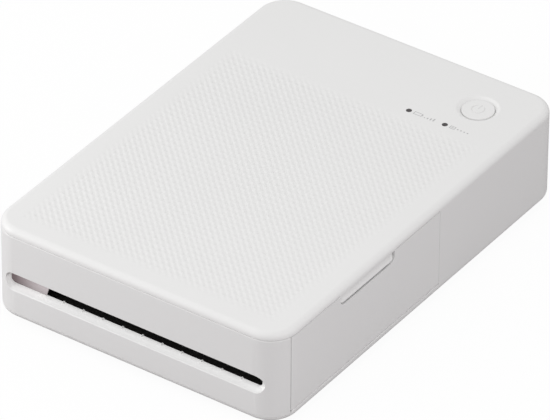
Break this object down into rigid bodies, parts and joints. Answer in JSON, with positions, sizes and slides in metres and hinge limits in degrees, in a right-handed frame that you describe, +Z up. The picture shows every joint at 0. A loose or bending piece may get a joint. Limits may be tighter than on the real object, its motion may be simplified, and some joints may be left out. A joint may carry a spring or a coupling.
{
  "type": "compact photo printer",
  "caption": "Compact dye-sublimation photo printer with a side cassette door, a front exit slot, a top power button and its whole paper and ribbon drive.",
  "frame": {"origin": "centre of the footprint, on the surface the feet stand on", "axes": "+X to the right seen from the exit slot, +Y from the exit slot to the back, +Z up"},
  "size_m": [0.1022, 0.1458, 0.0329],
  "materials": {
    "case_white": "fine-grained white moulded plastic",
    "button_white": "smooth white moulded plastic",
    "guide_black": "black moulded plastic",
    "cassette_grey": "dark grey moulded plastic",
    "gear_ivory": "natural acetal",
    "light_smoke": "smoked clear plastic",
    "battery_wrap": "shrink wrap",
    "board_green": "solder-masked board",
    "plate_blank": "blank printed film",
    "foot_rubber": "matt rubber",
    "roller_rubber": "ground rubber",
    "steel": "brushed",
    "sheet_steel": "zinc plated",
    "chrome": "plated",
    "head_aluminium": "extruded",
    "head_ceramic": "glazed bar",
    "brass": "turned",
    "paper": "coated photo paper",
    "ribbon": "dye-coated film",
    "cable": "flat flexible cable"
  },
  "bodies": {
    "case": {"upper_case": "case_white", "bottom_case": "case_white", "front_panel": "case_white", "exit_guide": "guide_black", "rubber_feet": "foot_rubber", "case_screws": "steel", "rating_plate": "plate_blank", "side_plate": "sheet_steel", "right_rail": "sheet_steel", "crossbars": "sheet_steel", "head_bridge": "sheet_steel", "head_springs": "steel", "frame_screws": "steel", "roller_bushes": "gear_ivory", "idler_studs": "steel", "motor_body": "steel", "turn_guide": "guide_black", "paper_tray": "cassette_grey", "paper_stack": "paper", "ribbon_cassette": "cassette_grey", "ribbon_film": "ribbon", "battery_pack": "battery_wrap", "main_board": "board_green", "usb_socket": "chrome", "button_switch": "guide_black", "light_pipes": "light_smoke", "head_cable": "cable"},
    "button": {"power_button": "button_white"},
    "door": {"cassette_door": "case_white", "door_hinge_pins": "steel"},
    "head": {"thermal_head": "head_ceramic", "head_bracket": "head_aluminium"},
    "motor_rotor": {"motor_pinion": "brass"},
    "reduction": {"reduction_gear": "gear_ivory"},
    "turn_unit": {"turn_roller": "roller_rubber", "turn_shaft": "steel", "turn_gear": "gear_ivory"},
    "turn_idler_unit": {"turn_idler": "gear_ivory"},
    "capstan_unit": {"capstan_roller": "steel", "capstan_shaft": "steel", "capstan_gear": "gear_ivory"},
    "feed_idler_unit": {"feed_idler": "gear_ivory"},
    "pickup_unit": {"pickup_roller": "roller_rubber", "pickup_shaft": "steel", "pickup_gear": "gear_ivory"},
    "middle_idler_unit": {"middle_idler": "gear_ivory"},
    "platen_unit": {"platen_roller": "roller_rubber", "platen_shaft": "steel", "platen_gear": "gear_ivory"},
    "print_idler_unit": {"print_idler": "gear_ivory"},
    "take_up_unit": {"take_up_spool": "ribbon", "take_up_gear": "gear_ivory"},
    "exit_idler_unit": {"exit_idler": "gear_ivory"},
    "exit_unit": {"exit_roller": "roller_rubber", "exit_shaft": "steel", "exit_gear": "gear_ivory"},
    "pinch_unit": {"pinch_roller": "steel"},
    "supply_unit": {"supply_spool": "ribbon"}
  },
  "joints": [
    {"name": "door_hinge", "type": "hinge", "parent": "case", "child": "door", "pos_m": [0.0497, -0.0288, 0.00605], "axis": [0, 1, 0], "range_deg": [0, 90]},
    {"name": "button_press", "type": "slide", "parent": "case", "child": "button", "axis": [0, 0, -1], "range_m": [0, 0.0004], "stiffness_N_per_m": 1500, "springref_m": -0.0002},
    {"name": "head_lift", "type": "slide", "parent": "case", "child": "head", "axis": [0, 0, -1], "range_m": [0, 0.0026], "deforming": ["head_springs"]},
    {"name": "turn_spin", "type": "hinge", "parent": "case", "child": "turn_unit", "pos_m": [0, 0.026, 0.0152], "axis": [1, 0, 0], "continuous": true},
    {"name": "turn_idler_spin", "type": "hinge", "parent": "case", "child": "turn_idler_unit", "pos_m": [0, 0.01414, 0.01705], "axis": [1, 0, 0], "continuous": true},
    {"name": "capstan_spin", "type": "hinge", "parent": "case", "child": "capstan_unit", "pos_m": [0, 0.003, 0.0126], "axis": [1, 0, 0], "continuous": true},
    {"name": "feed_idler_spin", "type": "hinge", "parent": "case", "child": "feed_idler_unit", "pos_m": [0, -0.00368, 0.01701], "axis": [1, 0, 0], "continuous": true},
    {"name": "pickup_spin", "type": "hinge", "parent": "case", "child": "pickup_unit", "pos_m": [0, -0.008, 0.0115], "axis": [1, 0, 0], "continuous": true},
    {"name": "middle_idler_spin", "type": "hinge", "parent": "case", "child": "middle_idler_unit", "pos_m": [0, -0.01614, 0.01534], "axis": [1, 0, 0], "continuous": true},
    {"name": "platen_spin", "type": "hinge", "parent": "case", "child": "platen_unit", "pos_m": [0, -0.0245, 0.012], "axis": [1, 0, 0], "continuous": true},
    {"name": "print_idler_spin", "type": "hinge", "parent": "case", "child": "print_idler_unit", "pos_m": [0, -0.03313, 0.01457], "axis": [1, 0, 0], "continuous": true},
    {"name": "take_up_spin", "type": "hinge", "parent": "case", "child": "take_up_unit", "pos_m": [0, -0.0388, 0.0228], "axis": [1, 0, 0], "continuous": true},
    {"name": "exit_idler_spin", "type": "hinge", "parent": "case", "child": "exit_idler_unit", "pos_m": [0, -0.05089, 0.01962], "axis": [1, 0, 0], "continuous": true},
    {"name": "exit_spin", "type": "hinge", "parent": "case", "child": "exit_unit", "pos_m": [0, -0.06, 0.0126], "axis": [1, 0, 0], "continuous": true},
    {"name": "pinch_spin", "type": "hinge", "parent": "case", "child": "pinch_unit", "pos_m": [0, 0.003, 0.01795], "axis": [1, 0, 0], "continuous": true},
    {"name": "supply_spin", "type": "hinge", "parent": "case", "child": "supply_unit", "pos_m": [0, -0.0102, 0.0228], "axis": [1, 0, 0], "continuous": true},
    {"name": "reduction_spin", "type": "hinge", "parent": "case", "child": "reduction", "pos_m": [0, 0.03213, 0.02034], "axis": [1, 0, 0], "continuous": true},
    {"name": "motor_spin", "type": "hinge", "parent": "case", "child": "motor_rotor", "pos_m": [0, 0.04358, 0.01934], "axis": [1, 0, 0], "continuous": true}
  ],
  "couplings": [
    {"joint": "turn_idler_spin", "follows": "turn_spin", "ratio": -0.71429},
    {"joint": "capstan_spin", "follows": "turn_spin", "ratio": 1},
    {"joint": "feed_idler_spin", "follows": "turn_spin", "ratio": -1.6667},
    {"joint": "pickup_spin", "follows": "turn_spin", "ratio": 1.25},
    {"joint": "middle_idler_spin", "follows": "turn_spin", "ratio": -1},
    {"joint": "platen_spin", "follows": "turn_spin", "ratio": 1.25},
    {"joint": "print_idler_spin", "follows": "turn_spin", "ratio": -1},
    {"joint": "take_up_spin", "follows": "turn_spin", "ratio": 1},
    {"joint": "exit_idler_spin", "follows": "turn_spin", "ratio": -0.66667},
    {"joint": "exit_spin", "follows": "turn_spin", "ratio": 1.25},
    {"joint": "pinch_spin", "follows": "turn_spin", "ratio": -1.5},
    {"joint": "supply_spin", "follows": "turn_spin", "ratio": 0.77273},
    {"joint": "reduction_spin", "follows": "turn_spin", "ratio": -1.6667},
    {"joint": "motor_spin", "follows": "turn_spin", "ratio": 6}
  ]
}
